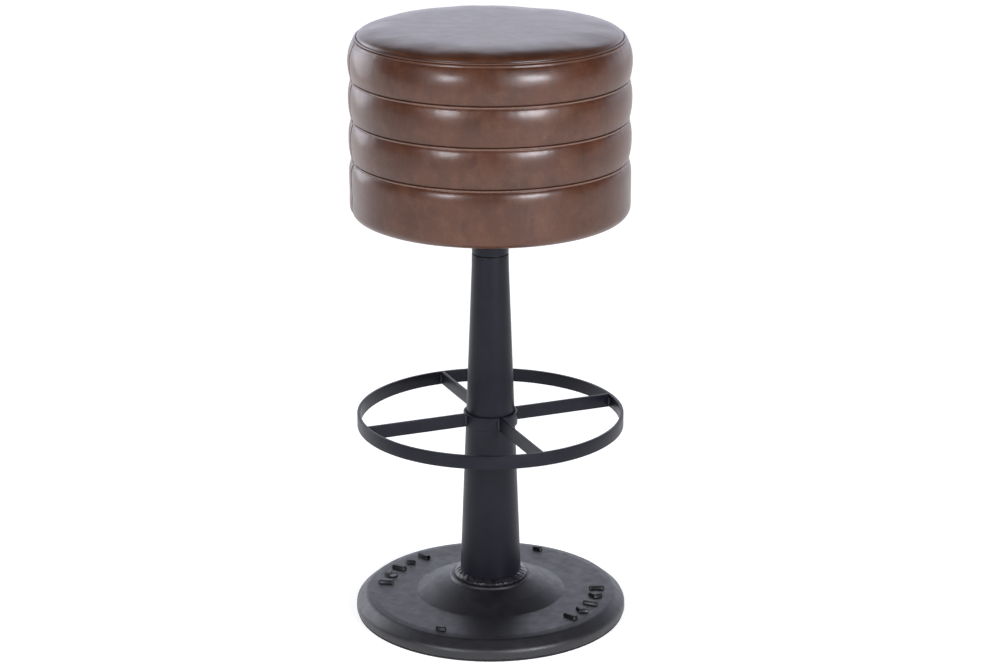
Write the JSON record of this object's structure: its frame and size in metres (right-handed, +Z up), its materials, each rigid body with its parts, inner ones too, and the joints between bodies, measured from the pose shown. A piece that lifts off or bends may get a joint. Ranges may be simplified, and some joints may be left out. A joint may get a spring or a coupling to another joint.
{
  "type": "bar stool",
  "caption": "Bar stool: drum seat in ribbed brown leather that swivels on a tapered steel column, flat-bar footrest ring and round cast-iron base.",
  "frame": {"origin": "on the floor, on the axis of the column", "axes": "+Z up along the column; +X and +Y along two of the footrest's spokes"},
  "size_m": [0.364, 0.364, 0.8],
  "materials": {
    "cast_iron_black": "matte black paint over sand-cast iron",
    "steel_black": "satin black powder coat",
    "weld_black": "weld bead under glossy black paint",
    "rubber_black": "matte",
    "steel_bright": "zinc plated or ground",
    "bronze": "machined",
    "plywood": "unfinished",
    "foam": "open cell",
    "dust_cloth": "non-woven",
    "leather_brown": "semi-gloss, hand-rubbed, mottled"
  },
  "bodies": {
    "pedestal": {"base_casting": "cast_iron_black", "floor_ring": "rubber_black", "column_tube": "steel_black", "base_weld": "weld_black", "column_plug": "steel_bright", "footrest_ring": "steel_black", "footrest_collar": "steel_black", "footrest_spoke_1": "steel_black", "footrest_spoke_2": "steel_black", "footrest_spoke_3": "steel_black", "footrest_spoke_4": "steel_black", "swivel_bolt": "steel_bright", "bearing_lower_race": "steel_bright", "retaining_washer": "steel_bright", "lock_nut": "steel_bright"},
    "cage": {"bearing_cage": "bronze", "bearing_ball_1": "steel_bright", "bearing_ball_2": "steel_bright", "bearing_ball_3": "steel_bright", "bearing_ball_4": "steel_bright", "bearing_ball_5": "steel_bright", "bearing_ball_6": "steel_bright", "bearing_ball_7": "steel_bright", "bearing_ball_8": "steel_bright"},
    "seat": {"bearing_upper_race": "steel_bright", "swivel_sleeve": "steel_black", "lower_bush": "bronze", "upper_bush": "bronze", "sleeve_weld": "weld_black", "seat_plate": "steel_black", "dust_cloth": "dust_cloth", "seat_bolt_1": "steel_bright", "seat_bolt_2": "steel_bright", "seat_bolt_3": "steel_bright", "seat_bolt_4": "steel_bright", "bolt_washer_1": "steel_bright", "bolt_washer_2": "steel_bright", "bolt_washer_3": "steel_bright", "bolt_washer_4": "steel_bright", "tee_nut_1": "steel_bright", "tee_nut_2": "steel_bright", "tee_nut_3": "steel_bright", "tee_nut_4": "steel_bright", "bottom_board": "plywood", "top_board": "plywood", "drum_hoop": "plywood", "upright_1": "plywood", "upright_2": "plywood", "upright_3": "plywood", "upright_4": "plywood", "side_padding": "foam", "top_foam": "foam", "leather_top": "leather_brown", "top_welt": "leather_brown", "leather_band_1": "leather_brown", "leather_band_2": "leather_brown", "leather_band_3": "leather_brown", "leather_band_4": "leather_brown"}
  },
  "joints": [
    {"name": "seat_swivel", "type": "hinge", "parent": "pedestal", "child": "seat", "pos_m": [0, 0, 0.5], "axis": [0, 0, 1], "continuous": true},
    {"name": "cage_turn", "type": "hinge", "parent": "pedestal", "child": "cage", "pos_m": [0, 0, 0.505], "axis": [0, 0, 1], "continuous": true}
  ],
  "couplings": [
    {"joint": "cage_turn", "follows": "seat_swivel", "ratio": 0.5}
  ]
}
